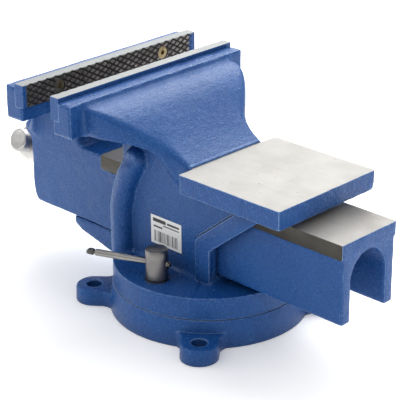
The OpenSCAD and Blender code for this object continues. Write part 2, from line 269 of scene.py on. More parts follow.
def yellow_zinc():
    """Yellow zinc plate with uneven brightness."""
    m = Mat("yellow_zinc")
    tones = [(0.25, (0.24, 0.17, 0.08)), (0.5, (0.42, 0.33, 0.17)), (0.8, (0.34, 0.29, 0.2))]
    colour = m.ramp(m.noise(260, 4), tones)
    return m.out(Base_Color=colour, Metallic=1.0,
                 Roughness=m.ramp(m.noise(300, 3), [(0.3, 0.25), (0.7, 0.42)]),
                 Normal=m.bump(m.noise(900, 2), 0.00004))


def bare_iron():
    """Sawn and cast grey iron of the hidden nut, sleeve and collar, with oil."""
    m = Mat("bare_iron")
    colour = m.ramp(m.noise(70, 4), [(0.3, (0.09, 0.085, 0.08)), (0.7, (0.2, 0.19, 0.175))])
    return m.out(Base_Color=colour, Metallic=0.9,
                 Roughness=m.ramp(m.noise(110, 3), [(0.3, 0.4), (0.7, 0.62)]),
                 Normal=m.bump(m.noise(600, 3), 0.00015))


def label_paper(name, colour):
    """Coated paper with a faint fibre pattern."""
    m = Mat(name)
    tone = m.ramp(m.noise(300, 3), [(0.3, tuple(0.93 * c for c in colour)), (0.7, colour)])
    return m.out(Base_Color=tone, Roughness=m.ramp(m.noise(80, 2), [(0.3, 0.32), (0.7, 0.45)]),
                 Normal=m.bump(m.noise(700, 3), 0.00002))


# ---------------------------------------------------------------- cast shapes

class Field:
    """Signed distances on a regular grid in mm, negative inside the metal."""

    def __init__(self, lo, hi, step):
        self.lo, self.step = lo, step
        self.shape = [int(math.ceil((b - a) / step)) + 1 for a, b in zip(lo, hi)]
        axes = [(a + step * np.arange(n)).astype(np.float32) for a, n in zip(lo, self.shape)]
        self.x, self.y, self.z = axes[0][:, None, None], axes[1][None, :, None], axes[2][None, None, :]

    def slab(self, half, pts, r=0.0):
        """Outline in the YZ plane, extruded to x = +-half, with rounded edges."""
        return extrude(outline(self.y, self.z, pts), np.abs(self.x) - half, r)

    def disc(self, cx, cy, radius, z0, z1, r=0.0):
        flat = np.hypot(self.x - cx, self.y - cy) - radius
        return extrude(flat, np.abs(self.z - (z0 + z1) / 2) - (z1 - z0) / 2, r)

    def rod_y(self, cx, cz, radius, y0, y1, r=0.0):
        flat = np.hypot(self.x - cx, self.z - cz) - radius
        return extrude(flat, np.abs(self.y - (y0 + y1) / 2) - (y1 - y0) / 2, r)

    def box(self, lo, hi, r=0.0):
        d = [np.abs(c - (a + b) / 2) - (b - a) / 2 + r for c, a, b in zip((self.x, self.y, self.z), lo, hi)]
        out = np.sqrt(sum(np.maximum(e, 0) ** 2 for e in d))
        return out + np.minimum(np.maximum(np.maximum(d[0], d[1]), d[2]), 0) - r

    def capsule(self, a, b, r):
        a, b = np.array(a, float), np.array(b, float)
        e = b - a
        px, py, pz = self.x - a[0], self.y - a[1], self.z - a[2]
        t = np.clip((px * e[0] + py * e[1] + pz * e[2]) / e.dot(e), 0, 1)
        return np.sqrt((px - e[0] * t) ** 2 + (py - e[1] * t) ** 2 + (pz - e[2] * t) ** 2) - r

    def lumps(self, size, seed):
        """Smooth random heights with that spacing."""
        g = np.random.default_rng(seed).standard_normal([int(n * self.step / size) + 3 for n in self.shape])
        g = g.astype(np.float32)
        for i, n in enumerate(self.shape):
            t = np.arange(n) * self.step / size
            k = t.astype(int)
            f = (t - k).astype(np.float32)
            f = (f * f * (3 - 2 * f)).reshape([-1 if j == i else 1 for j in range(3)])
            g = np.take(g, k, i) * (1 - f) + np.take(g, k + 1, i) * f
        return g

    def mesh(self, name, d):
        """Object from the zero surface of the distances d."""
        grid = openvdb.FloatGrid(50.0)
        grid.copyFromArray(np.array(np.broadcast_to(d, self.shape), dtype=np.float32))
        points, quads = grid.convertToQuads(isovalue=0.0)
        points = (np.array(self.lo) + points * self.step) * MM
        me = bpy.data.meshes.new(name)
        me.from_pydata(points.tolist(), [], quads.tolist())
        bm = bmesh.new()
        bm.from_mesh(me)
        if bm.calc_volume(signed=True) < 0:
            bmesh.ops.reverse_faces(bm, faces=bm.faces)
        bm.to_mesh(me)
        bm.free()
        return new_object(name, me)


def outline(a, b, pts):
    """Signed distance to a closed 2D outline."""
    best, sign = None, 1.0
    for (x0, y0), (x1, y1) in zip(pts, pts[1:] + pts[:1]):
        ex, ey, wx, wy = x1 - x0, y1 - y0, a - x0, b - y0
        t = np.clip((wx * ex + wy * ey) / (ex * ex + ey * ey), 0, 1)
        d = (wx - ex * t) ** 2 + (wy - ey * t) ** 2
        best = d if best is None else np.minimum(best, d)
        c1, c2, c3 = b >= y0, b < y1, ex * wy > ey * wx
        sign = np.where((c1 & c2 & c3) | (~c1 & ~c2 & ~c3), -sign, sign)
    return sign * np.sqrt(best)


def extrude(flat, side, r=0.0):
    """Solid where both distances are negative, with edges rounded by r."""
    flat, side = flat + r, side + r
    return np.minimum(np.maximum(flat, side), 0) + np.hypot(np.maximum(flat, 0), np.maximum(side, 0)) - r


def join(a, b, k):
    """Union with a fillet about k wide."""
    h = np.maximum(k - np.abs(a - b), 0) / k
    return np.minimum(a, b) - h * h * k / 4


def cut(a, b, k=0.6):
    """a without b."""
    h = np.maximum(k - np.abs(a + b), 0) / k
    return np.maximum(a, -b) + h * h * k / 4


def fall(t, p):
    """S-shaped fall from 1 to 0 over t = 0..1; p shifts the steep part."""
    t = min(1.0, max(0.0, t))
    return (1 + math.cos(math.pi * t ** p)) / 2


def apron_z(y):
    """Height of the neck's upper face behind the fixed jaw: it runs down steeply to the anvil."""
    return float(np.interp(y, APRON_Y, APRON_TOP))


def flare(f, y0, length, s, w1, z1, low1, r, straight=False):
    """Flared neck behind a jaw block, from its plan and its side profile.

    It starts at y0 and runs for length towards s, to half width w1 between heights low1 and z1.
    With straight the upper face follows apron_z instead.
    """
    steps = [i / 16 for i in range(17)]
    ys = [y0 + s * length * t for t in steps]
    z0, low0 = LEDGE_Z - 4.4, BLOCK_Z0 - 1
    top = [z0] + [z1 + (z0 - z1) * fall(t, 1.437) for t in steps]
    low = [low0] + [low0 - (low0 - low1) * min(1, t * 1.17) ** 3.24 for t in steps]
    wide = [FLARE_W] + [w1 + (FLARE_W - w1) * fall(t, 1.25) for t in steps]
    if straight:
        top = [z0] + [apron_z(y) for y in ys]
    ys = [y0 - s * 6] + ys
    side = list(zip(ys, top)) + list(zip(ys, low))[::-1]
    plan = list(zip(wide, ys)) + [(-w, y) for w, y in list(zip(wide, ys))[::-1]]
    a, b = outline(f.y, f.z, side), outline(f.x, f.y, plan)
    h = np.maximum(r - np.abs(a - b), 0) / r
    return np.maximum(a, b) + h * h * r / 4


# ---------------------------------------------------------------- mesh helpers

def new_object(name, me):
    ob = bpy.data.objects.new(name, me)
    bpy.context.scene.collection.objects.link(ob)
    return ob


def solid(name, bm, where=None):
    """Object from a closed bmesh, faces turned outwards, moved by the matrix if one is given."""
    bmesh.ops.recalc_face_normals(bm, faces=bm.faces)
    me = bpy.data.meshes.new(name)
    bm.to_mesh(me)
    bm.free()
    if where is not None:
        me.transform(where)
    return new_object(name, me)


def box_object(lo, hi):
    """Cutting block between two corners."""
    bm = bmesh.new()
    bmesh.ops.create_cube(bm, size=1.0)
    for v in bm.verts:
        v.co = Vector([(a + (c + 0.5) * (b - a)) * MM for c, a, b in zip(v.co, lo, hi)])
    return solid("cutter", bm)


def bevelled(pts, x0, x1, r):
    """Prism from a YZ outline whose far rim, at x1, is rounded by r."""
    n, s = len(pts), 1 if x1 > x0 else -1
    area = sum(pts[i - 1][0] * pts[i][1] - pts[i][0] * pts[i - 1][1] for i in range(n))
    turn = -1 if area > 0 else 1
    layers = []
    for x, inset in ((x0, 0), (x1 - s * r, 0), (x1 - s * 0.3 * r, 0.3 * r), (x1, r)):
        row = []
        for i in range(n):
            p, q, o = (Vector(pts[j % n]) for j in (i - 1, i, i + 1))
            a, b = (q - p).normalized(), (o - q).normalized()
            na, nb = Vector((a.y, -a.x)) * turn, Vector((b.y, -b.x)) * turn
            move = (na + nb) / (1 + na.dot(nb)) * inset
            row.append((x, q.x + move.x, q.y + move.y))
        layers.append(row)
    return stack("prism", layers)


def stack(name, layers, where=None):
    """Closed solid through rings of points in mm that all have the same count."""
    bm = bmesh.new()
    rings = [[bm.verts.new(Vector(p) * MM) for p in row] for row in layers]
    n = len(rings[0])
    for a, b in zip(rings, rings[1:]):
        for i in range(n):
            j = (i + 1) % n
            bm.faces.new((a[i], a[j], b[j], b[i]))
    bm.faces.new(rings[0])
    bm.faces.new(rings[-1])
    return solid(name, bm, where)


def prism(pts, x0, x1):
    """Closed solid from a YZ outline between two x values."""
    return stack("cutter", [[(x, y, z) for y, z in pts] for x in (x0, x1)])


def carve(ob, *tools, operation="DIFFERENCE"):
    """Cuts the tools out of ob, or adds them, and removes them."""
    for tool in tools:
        mod = ob.modifiers.new("carve", "BOOLEAN")
        mod.operation, mod.object, mod.solver = operation, tool, "MANIFOLD"
    bake(ob)
    for tool in tools:
        bpy.data.objects.remove(tool)
    return ob


def bake(ob):
    """Makes the modifiers part of the mesh."""
    deps = bpy.context.evaluated_depsgraph_get()
    me = bpy.data.meshes.new_from_object(ob.evaluated_get(deps))
    ob.modifiers.clear()
    ob.data = me


def polish(ob, angle=38.0):
    """Smooth shading with hard lines at machined edges."""
    ob.data.shade_smooth()
    ob.data.set_sharp_from_angle(angle=math.radians(angle))


def paint_faces(ob, mats, *rules):
    """Gives faces a material by rule(centre in mm, normal) -> mask; the first material is the rest."""
    me = ob.data
    me.materials.clear()
    for m in mats:
        me.materials.append(m)
    n = len(me.polygons)
    c, nrm = np.empty(n * 3), np.empty(n * 3)
    me.polygons.foreach_get("center", c)
    me.polygons.foreach_get("normal", nrm)
    c, nrm = c.reshape(-1, 3) / MM, nrm.reshape(-1, 3)
    index = np.zeros(n, dtype=np.int32)
    for i, rule in enumerate(rules, 1):
        index[rule(c, nrm)] = i
    me.polygons.foreach_set("material_index", index)
    me.update()


def lathe(name, profile, where, turns=64):
    """Closed solid of revolution round local Z from (radius, height) in mm, ends on the axis."""
    fine = [profile[0]]
    for (r0, h0), (r1, h1) in zip(profile, profile[1:]):
        parts = max(1, int(abs(h1 - h0) / 6)) if min(r0, r1) > 0 else 1
        fine += [(r0 + (r1 - r0) * i / parts, h0 + (h1 - h0) * i / parts) for i in range(1, parts + 1)]
    profile = fine
    bm = bmesh.new()
    rings = []
    for r, h in profile:
        if r < 1e-6:
            rings.append([bm.verts.new((0, 0, h * MM))])
        else:
            rings.append([bm.verts.new((r * MM * math.cos(2 * math.pi * i / turns),
                                        r * MM * math.sin(2 * math.pi * i / turns), h * MM))
                          for i in range(turns)])
    for a, b in zip(rings, rings[1:]):
        for i in range(turns):
            j = (i + 1) % turns
            if len(a) == 1:
                bm.faces.new((a[0], b[j], b[i]))
            elif len(b) == 1:
                bm.faces.new((a[i], a[j], b[0]))
            else:
                bm.faces.new((a[i], a[j], b[j], b[i]))
    return solid(name, bm, where)


def plug(radius, low, high, where, turns=48):
    """Plain round cutter."""
    return lathe("cutter", [(0, low), (radius, low), (radius, high), (0, high)], where, turns)


def place(x, y, z, turn=None):
    """Matrix of a place in mm, turned first if a turn is given."""
    m = Matrix.Translation(Vector((x, y, z)) * MM)
    return m @ turn if turn is not None else m


TO_Y = Matrix.Rotation(-math.pi / 2, 4, "X")      # local Z becomes +Y
HANDLE = place(0, HANDLE_Y, SCREW_Z, Matrix.Rotation(math.pi / 2 - TILT, 4, "Y"))


# ---------------------------------------------------------------- castings

def make_body():
    """Fixed casting: walls, side ribs, neck, anvil slab, jaw block, flange, spigot and support nose."""
    f = Field((-103, -141, 7), (103, 131, 192), 1.4)
    walls = [(-62, 42), (40, 42), (40, 74), (104, 125.2), (20, 139), (-44, 164), (-62, 164)]
    d = f.slab(39.6, walls, 1.2)
    for s in (-1, 1):
        rib = [(-62, 42), (-62, 85), (-57.2, 104), (-51, 118), (-43, 132)]
        course = [(s * 40, y, z) for y, z in rib]
        bead = f.capsule(course[0], course[1], 10.5)
        for a, b in zip(course[1:], course[2:]):
            bead = np.minimum(bead, f.capsule(a, b, 10.5))
        d = join(d, bead, 2.2)
        d = cut(d, f.capsule((s * 54, -55, 131), (s * 54, -42, 133), 6.5), 3)
    neck = flare(f, FIX_BACK, 70, 1, 38.8, 138.5, 132, 5, straight=True)
    d = join(d, neck, 18)
    anvil = f.box((-57, 22.3, ANVIL_Z0), (57, 128.3, ANVIL_Z1 + 4), 1.0)
    d = join(d, anvil, 2.5)
    block = [(FIX_FACE + 2.4, BLOCK_Z0), (FIX_FACE + 2.4, LEDGE_Z), (FIX_BACK, LEDGE_Z), (FIX_BACK, BLOCK_Z0)]
    d = join(d, f.slab(JAW, block, 1.8), 4)
    flange = f.disc(0, 0, 80.6, BASE_H, FLANGE_Z - 0.5, 1.6)
    d = join(d, flange, 6)
    d = join(d, f.disc(0, 0, 22, 9, BASE_H + 4, 1), 1)
    nose = [(-50, 24.6), (-80, 25.4), (-128, 36.6), (-137, 42), (-137, 49), (-50, 49)]
    d = join(d, f.slab(31, nose, 3), 6)
    # The casting is smoother where the label sticks.
    by_label = np.clip(1.4 - np.hypot((f.y + 11) / 24, (f.z - 73.5) / 19), 0, 0.4) / 0.4
    calm = 1 - by_label * np.clip((f.x - 30) / 4, 0, 1)
    d = d + (0.12 * f.lumps(9, 11) + 0.05 * f.lumps(3.2, 12)) * calm
    d = np.maximum(d, BASE_H - f.z + np.where(np.hypot(f.x, f.y) < 24, -30, 0))
    d = cut(d, f.box((-32.4, -145, BEAM_Z0), (32.4, 190, 117.7), 0), 1.2)
    for s in (-1, 1):
        d = cut(d, f.disc(s * LOCK_X, 0, 6, 20, 50), 0.8)
        d = cut(d, f.rod_y(s * PLATE_SCREW_X, PLATE_SCREW_Z, 3, FIX_SEAT - 1, FIX_SEAT + 12.5), 0.5)
    d = cut(d, f.disc(0, 0, 6, 5, 60), 0.5)
    ob = f.mesh("cast_body", d)
    disc = lathe("disc", [(0, BASE_H), (RIM_R, BASE_H), (FLANGE_R, BASE_H + 0.6), (FLANGE_R, FLANGE_Z - 1.0),
                          (81.42, FLANGE_Z - 0.4), (RIM_R, FLANGE_Z - 0.1), (80.4, FLANGE_Z), (0, FLANGE_Z)],
                 Matrix(), 160)
    for s in (-1, 1):
        carve(disc, plug(6, 20, 50, place(s * LOCK_X, 0, 0)))
    carve(disc, plug(6, 20, 50, Matrix()))
    carve(ob, disc, operation="UNION")
    lip = [(9, 134), (21.25, 134), (21.25, 141.4), (20.8, 142.1), (20.0, 142.4), (13.4, 142.4), (12.2, 141.9),
           (11.0, 140.6)]
    carve(ob, bevelled(lip, -5, 41.5, 1.5), operation="UNION")
    carve(ob, bevelled(lip, 5, -40.0, 1.5), operation="UNION")
    seam = [(44.6, -69.2), (84.6, -69.2), (104, -64.8), (118, -59.1), (126.5, -53.7)]
    eighths = [(0.75 * math.cos(k), 0.75 * math.sin(k)) for k in np.arange(8) * math.pi / 4]
    for s in (-1, 1):
        carve(ob, stack("seam", [[(s * 47.5 + dx, y + dy, z) for dx, dy in eighths] for z, y in seam]),
              operation="UNION")
    rim = [(24.2, 40), (40.2, 40), (40.2, 73.9), (103, 124.0), (79, 124.0), (27.5, 83.1), (24.2, 79.0)]
    groove = [(25.6, 83.0), (26.5, 82.1), (78.5, 123.6), (77.6, 124.5)]
    for s in (-1, 1):
        carve(ob, bevelled(rim, s * 36, s * 41.9, 0.5), operation="UNION")
        carve(ob, prism(groove, min(s * 38.8, s * 41), max(s * 38.8, s * 41)))
    front = [(-90, 45.5), (-69.3, 45.5), (-69.3, 85), (-64.9, 104), (-59.2, 118), (-53.5, 127), (-90, 127)]
    carve(ob, box_object((-75, 21.3, ANVIL_Z1), (75, 140, 160)),
          box_object((-110, -90, PLATE_Z0), (110, FIX_SEAT, 200)),
          prism(front, 33, 60), prism(front, -60, -33))

    def anvil_face(c, n):
        return (n[:, 2] > 0.999) & (abs(c[:, 2] - ANVIL_Z1) < FLAT) & (c[:, 1] > 21.2)

    paint_faces(ob, [PAINT, ANVIL], anvil_face)
    polish(ob)
    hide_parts("vise_body")
    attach(ob, "vise")


def make_moving_jaw():
    """Sliding casting: U-shaped beam with machined strips, neck, front boss and jaw block."""
    f = Field((-103, -200, 46), (103, 174, 192), 1.4)
    throat = MOV_BACK + 8.2
    crown = [(MOV_BACK - 54.3 * t, BEAM_Z1 - 4 + (LEDGE_Z - 14 - BEAM_Z1) * fall(t, 1.437))
             for t in (0.1, 0.25, 0.4, 0.55, 0.7, 0.85)]
    side = [(FRONT_Y + 5, BEAM_Z0), (170, BEAM_Z0), (170, BEAM_Z1 - 0.2), (throat + 8, BEAM_Z1 - 0.2),
            (throat + 2, BEAM_Z1 + 3), (throat, BEAM_Z1 + 9), (throat, BLOCK_Z0 + 4), *crown,
            (FRONT_Y - 5, BEAM_Z1 + 4), (FRONT_Y - 5, BEAM_Z1 - 1), (FRONT_Y, BEAM_Z1 - 8),
            (FRONT_Y, BEAM_Z0 + 18), (FRONT_Y + 1.6, BEAM_Z0 + 6)]
    d = f.slab(31.6, side, 2.2)
    neck = flare(f, MOV_BACK, 54.3, -1, 31.6, BEAM_Z1 + 6, BEAM_Z1 + 2, 5)
    d = join(d, neck, 14)
    d = join(d, f.rod_y(0, SCREW_Z, 24, FRONT_Y - 2.5, FRONT_Y + 6, 1.5), 4)
    block = [(MOV_FACE - 2.4, BLOCK_Z0), (MOV_FACE - 2.4, LEDGE_Z), (MOV_BACK, LEDGE_Z), (MOV_BACK, BLOCK_Z0)]
    d = join(d, f.slab(JAW, block, 1.8), 4)
    strip = f.box((-33.4, FIX_FACE - 17, 105.2), (33.4, 170, BEAM_Z1 + 1.4), 0.4)
    d = join(d, strip, 1.5)
    d = d + 0.12 * f.lumps(9, 21) + 0.05 * f.lumps(3.2, 22)
    arch = [(-150.5, 40), (200, 40), (200, ARCH_Z), (-150.5, ARCH_Z)]
    d = cut(d, np.minimum(f.slab(ARCH_R, arch), f.rod_y(0, ARCH_Z, ARCH_R, -150.5, 200)), 2.2)
    d = cut(d, f.rod_y(0, SCREW_Z, 10.2, -200, -140), 1)
    for s in (-1, 1):
        d = cut(d, f.rod_y(s * PLATE_SCREW_X, PLATE_SCREW_Z, 3, MOV_SEAT - 12.5, MOV_SEAT + 1), 0.5)
    ob = f.mesh("cast_moving_jaw", d)
    y0 = FIX_FACE - 17.5
    strip_x, strip_z = 32.2, 104.4
    carve(ob, box_object((-50, y0, BEAM_Z1), (50, 180, 125)),
          box_object((strip_x, y0, strip_z), (45, 180, 121)),
          box_object((-45, y0, strip_z), (-strip_x, 180, 121)),
          box_object((-110, MOV_SEAT, PLATE_Z0), (110, -100, 200)))

    def top(c, n):
        return (n[:, 2] > 0.999) & (abs(c[:, 2] - BEAM_Z1) < FLAT) & (c[:, 1] > y0)

    def strips(c, n):
        return (abs(n[:, 0]) > 0.999) & (abs(abs(c[:, 0]) - strip_x) < FLAT) & (c[:, 2] > 104)

    paint_faces(ob, [PAINT, BEAM_TOP, BEAM_SIDE], top, strips)
    polish(ob)
    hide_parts("moving_jaw")
    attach(ob, "slide")


def ear_outline():
    """Plan of a base lug along +X: concave fillets at the disc, then a round end."""
    fillet, half, disc_r = 12.0, 16.0, 84.0
    v = math.sqrt((disc_r + fillet) ** 2 - (half + fillet) ** 2)
    a0 = math.atan2(-(half + fillet), -v)
    side = []
    for i in range(13):
        a = a0 + (-math.pi / 2 - a0) * i / 12
        side.append((v + fillet * math.cos(a), half + fillet + fillet * math.sin(a)))
    turns = [math.pi / 2 - math.pi * i / 28 for i in range(29)]
    end = [(LUG_CIRCLE + half * math.cos(a), half * math.sin(a)) for a in turns]
    pts = [(60, side[0][1])] + side + end
    low = [(x, -y) for x, y in side][::-1] + [(60, -side[0][1])]
    return pts + low


def make_base():
    """Swivel base: round disc, four bolt lugs, the swivel bore and the round T-slot."""
    disc = [(0, 0), (84.6, 0), (84.9, 1.0), (84.0, 12), (82.6, BASE_H - 1.1), (82.3, BASE_H - 0.4),
            (81.7, BASE_H), (0, BASE_H)]
    ring = lathe("cast_swivel_base", disc, Matrix(), 200)
    plan = ear_outline()
    sides = [math.radians(LUG_TURN + 90 * k) for k in range(4)]
    for a in sides:
        layers = []
        for z, grow in ((0, -0.2), (1.0, 0.0), (11.6, -0.35), (12.8, -0.8), (13.4, -1.5), (13.6, -2.4)):
            row = []
            for i, (x, y) in enumerate(plan):
                (px, py), (qx, qy) = plan[i - 1], plan[(i + 1) % len(plan)]
                tx, ty = qx - px, qy - py
                length = math.hypot(tx, ty)
                row.append((x - grow * ty / length, y + grow * tx / length, z))
            layers.append(row)
        carve(ring, stack("ear", layers, Matrix.Rotation(a, 4, "Z")), operation="UNION")
    for a in sides:
        hole = [(0, -3), (LUG_HOLE_R, -3), (LUG_HOLE_R, 12.9), (7.3, 13.7), (7.3, 20), (0, 20)]
        carve(ring, lathe("cutter", hole, place(LUG_CIRCLE * math.cos(a), LUG_CIRCLE * math.sin(a), 0), 48))
    carve(ring, plug(22.1, -3, 30, Matrix(), 96), tube(54.7, 68.3, 12, 30), tube(48.9, 74.1, 4, 13))

    def bearing_face(c, n):
        return (n[:, 2] > 0.99) & (c[:, 2] > BASE_H - 0.05) & (np.hypot(c[:, 0], c[:, 1]) < 81)

    paint_faces(ring, [PAINT, ANVIL], bearing_face)
    polish(ring, 32)
    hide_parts("swivel_base")
    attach(ring, "base")


def tube(r0, r1, z0, z1, turns=128):
    """Square-section ring round Z."""
    bm = bmesh.new()
    angles = [2 * math.pi * i / turns for i in range(turns)]
    rings = [[bm.verts.new((r * MM * math.cos(a), r * MM * math.sin(a), z * MM)) for a in angles]
             for r, z in ((r0, z0), (r1, z0), (r1, z1), (r0, z1))]
    for a, b in zip(rings, rings[1:] + rings[:1]):
        for i in range(turns):
            j = (i + 1) % turns
            bm.faces.new((a[i], a[j], b[j], b[i]))
    return solid("cutter", bm)


# ---------------------------------------------------------------- jaw plates

def make_plate(name, node, body, face, s):
    """Plate with a diamond-knurled working face; s = 1 faces -Y, s = -1 faces +Y."""
    step = 0.5
    nx, nz = int(2 * JAW / step), int((PLATE_Z1 - PLATE_Z0) / step)
    xs = np.linspace(-JAW, JAW, nx + 1)
    zs = np.linspace(PLATE_Z0, PLATE_Z1, nz + 1)
    gx, gz = np.meshgrid(xs, zs, indexing="ij")
    # Two crossing families of grooves leave diamonds.
    pitch, half, lean = 4.56, 0.82, math.radians(30)
    depth = np.zeros_like(gx)
    for sign in (-1, 1):
        across = gx * math.sin(lean) + sign * gz * math.cos(lean)
        off = np.abs((across / pitch) % 1 - 0.5) * pitch
        depth = np.maximum(depth, np.clip(1 - off / half, 0, 1))
    plain = np.clip((95.4 - np.abs(gx)) / 0.6, 0, 1)
    for x0 in (-PLATE_SCREW_X, PLATE_SCREW_X):
        plain *= np.clip((np.hypot(gx - x0, gz - PLATE_SCREW_Z) - 6.0) / 0.6, 0, 1)
    depth = 0.8 * np.minimum(depth * 1.6, 1) * plain
    edge = np.minimum(np.minimum(gz - PLATE_Z0, PLATE_Z1 - gz), JAW - np.abs(gx))
    depth = np.maximum(depth, np.clip(0.3 - edge * 0.6, 0, 0.3))
    front = np.stack([gx, face + s * depth, gz], -1)
    seat = face + s * 9.8
    bm = bmesh.new()
    grid = [[bm.verts.new(Vector(front[i, j]) * MM) for j in range(nz + 1)] for i in range(nx + 1)]
    for i in range(nx):
        for j in range(nz):
            quad = (grid[i][j], grid[i + 1][j], grid[i + 1][j + 1], grid[i][j + 1])
            bm.faces.new(quad)
    rim = [grid[i][0] for i in range(nx + 1)] + [grid[nx][j] for j in range(1, nz + 1)]
    rim += [grid[i][nz] for i in range(nx - 1, -1, -1)] + [grid[0][j] for j in range(nz - 1, 0, -1)]
    back = [bm.verts.new((v.co.x, seat * MM, v.co.z)) for v in rim]
    for k in range(len(rim)):
        m = (k + 1) % len(rim)
        bm.faces.new((rim[k], back[k], back[m], rim[m]))
    bm.faces.new(back)
    ob = solid(name, bm)
    turn = TO_Y if s > 0 else Matrix.Rotation(math.pi / 2, 4, "X")
    for x in (-PLATE_SCREW_X, PLATE_SCREW_X):
        sink = lathe("cutter", [(0, -2), (5.9, -2), (5.9, 0.6), (3.05, 5.0), (3.05, 12), (0, 12)],
                     place(x, face, PLATE_SCREW_Z, turn), 48)
        carve(ob, sink)

    def depth_of(c):
        return s * (c[:, 1] - face)

    def grooves(c, n):
        return (depth_of(c) > 0.16) & (depth_of(c) < 6) & (abs(n[:, 2]) < 0.9)

    def overspray(c, n):
        wobble = 0.9 * np.sin(c[:, 2] * 1.7) + 0.7 * np.sin(c[:, 2] * 4.3 + c[:, 0] * 3.0)
        return ((c[:, 0] > 96.2 + wobble * 0.6) | (c[:, 0] < -93.2 + wobble)) & (depth_of(c) < 1)

    def ends(c, n):
        return (abs(n[:, 0]) > 0.9) & (abs(c[:, 0]) > JAW - 0.4) | (depth_of(c) > 9.7)

    def top(c, n):
        return (n[:, 2] > 0.5) & (c[:, 2] > PLATE_Z1 - 0.35)

    paint_faces(ob, [DIAMOND, GROOVE, PLATE_PAINT, PLATE_PAINT, PLATE_TOP], grooves, overspray, ends, top)
    polish(ob, 30)
    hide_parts(node)
    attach(ob, body)


# ---------------------------------------------------------------- screw and handle

def make_screw():
    """Screw head with a turned groove and cross hole, plain journal, then a trapezoidal thread."""
    turned = [(0, -226), (17.2, -226), (18.6, -225.4), (19, -224), (19, -201.5), (18.2, -200.6),
              (18.2, -199.4), (19, -198.5), (19, -196.8), (18.2, -196), (10.0, -196), (10.0, -113), (8.4, -111), (0, -111)]
    head = lathe("screw_with_head", turned, place(0, 0, SCREW_Z, TO_Y), 96)
    carve(head, plug(7.1, -30, 30, HANDLE), plug(2.5, -30, 30, place(0, -128.5, SCREW_Z), 32))
    pitch, turns, step, core_r, crest_r = 6.0, 40, 0.75, 8.0, 9.9
    ys = np.arange(-113.0, 140.01, step)
    ang = 2 * np.pi * np.arange(turns) / turns
    phase = (ys[:, None] / pitch - ang[None, :] / (2 * np.pi)) % 1
    tooth = np.clip((0.5 - np.abs(phase - 0.5)) * 2, 0, 1)
    lift = np.clip((tooth - 0.3) / 0.28, 0, 1)
    fade = np.clip((139.0 - ys) / 3.0, 0, 1)[:, None]
    r = core_r + (crest_r - core_r) * lift * fade
    layers = [[(r[i, k] * math.cos(ang[k]), ys[i], SCREW_Z + r[i, k] * math.sin(ang[k]))
               for k in range(turns)] for i in range(len(ys))]
    carve(head, stack("thread", layers), operation="UNION")
    paint_faces(head, [SCREW_STEEL])
    polish(head, 35)
    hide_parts("lead_screw")
    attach(head, "screw")


def make_handle():
    """T handle bar with a pressed-on cap knob at each end."""
    near, length, cap = 19.6, 216.0, 14.0
    far = near + 2 * cap - length
    bar = lathe("handle_bar_steel", [(0, far - 12), (6.2, far - 12), (7, far - 11.2), (7, near + 11.2),
                                     (6.2, near + 12), (0, near + 12)], HANDLE, 64)
    knob = [(0, 0), (9.4, 0.0), (10.2, 0.5), (10.5, 1.4), (10.5, 11.6), (10.1, 12.9), (9.2, 13.7), (8.0, cap),
            (2.0, 13.8), (0, 13.8)]
    near_end = HANDLE @ Matrix.Translation((0, 0, near * MM))
    far_end = HANDLE @ Matrix.Translation((0, 0, far * MM)) @ Matrix.Rotation(math.pi, 4, "X")
    knobs = (("knob_near", "handle_knob_near", near_end), ("knob_far", "handle_knob_far", far_end))
    for name, node, where in knobs:
        ob = lathe(name, knob, where, 64)
        carve(ob, plug(7.0, -1, 11.9, where, 64))
        paint_faces(ob, [KNOB_STEEL])
        polish(ob, 50)
        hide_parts(node)
        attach(ob, "handle")
    paint_faces(bar, [BAR_STEEL])
    polish(bar, 35)
    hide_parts("handle_bar")
    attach(bar, "handle")


# ---------------------------------------------------------------- swivel locks

def make_lock(s, side):
    """Round lock nut on a T-bolt and the bar through it, at x = s * LOCK_X."""
    x = s * LOCK_X
    angle = math.radians(-68 if s > 0 else 248)
    along = place(x, 0, 58.1, Matrix.Rotation(angle, 4, "Z") @ Matrix.Rotation(math.pi / 2, 4, "Y"))
    foot = place(x, 0, 44.8)
    round_nut = [(0, 0), (8.8, 0), (9.5, 0.7), (9.5, 24.8), (9.3, 25.3), (8.5, 26.0), (8.2, 26.1),
                 (7.9, 26.1), (7.6, 25.9), (0, 25.9)]
    nut = lathe("nut_" + side, round_nut, foot, 72)
    carve(nut, plug(6.1, -1, 9.8, foot), plug(3.0, -20, 20, along, 40))
    paint_faces(nut, [NUT_STEEL])
    polish(nut, 40)
    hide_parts("lock_nut_" + side)
    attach(nut, "nut_" + side)
    # Bar with both ends pinched flat so that it can't fall out: (along the bar, half width, half height).
    half = 2.85
    short_end = [(-12.4, 1.3, 1.6), (-12.1, 1.9, 2.4), (-11.3, 1.8, 3.0), (-10.6, 2.2, 3.0),
                 (-9.9, half, half)]
    straight = [(h, half, half) for h in range(-7, 54, 3)] + [(54.4, half, half)]
    long_end = [(55.0, 2.6, 2.75), (55.4, 1.9, 2.3), (56.2, 1.6, 2.2), (56.9, 1.9, 2.5), (57.3, 2.5, 3.2),
                (58.6, 2.7, 3.5), (60.6, 2.6, 3.5), (61.8, 2.2, 3.4), (62.6, 1.7, 3.0), (63.0, 1.1, 2.3)]
    sides = [2 * math.pi * k / 32 for k in range(32)]
    bar = stack("bar_" + side, [[(a * math.cos(t), b * math.sin(t), h) for t in sides]
                                for h, a, b in short_end + straight + long_end], along)

    def shaded_ends(c, n):
        """Faces near either end of the bar, which get darker steel as painted shade; the short end lies in
        the nut's shadow.
        """
        return abs((c[:, 0] - x) * math.cos(angle) + c[:, 1] * math.sin(angle) - 23.0) > 32.3

    paint_faces(bar, [BAR_STEEL, BAR_END_SHADE], shaded_ends)
    polish(bar, 40)
    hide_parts("lock_bar_" + side)
    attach(bar, "bar_" + side)


# ---------------------------------------------------------------- sticker

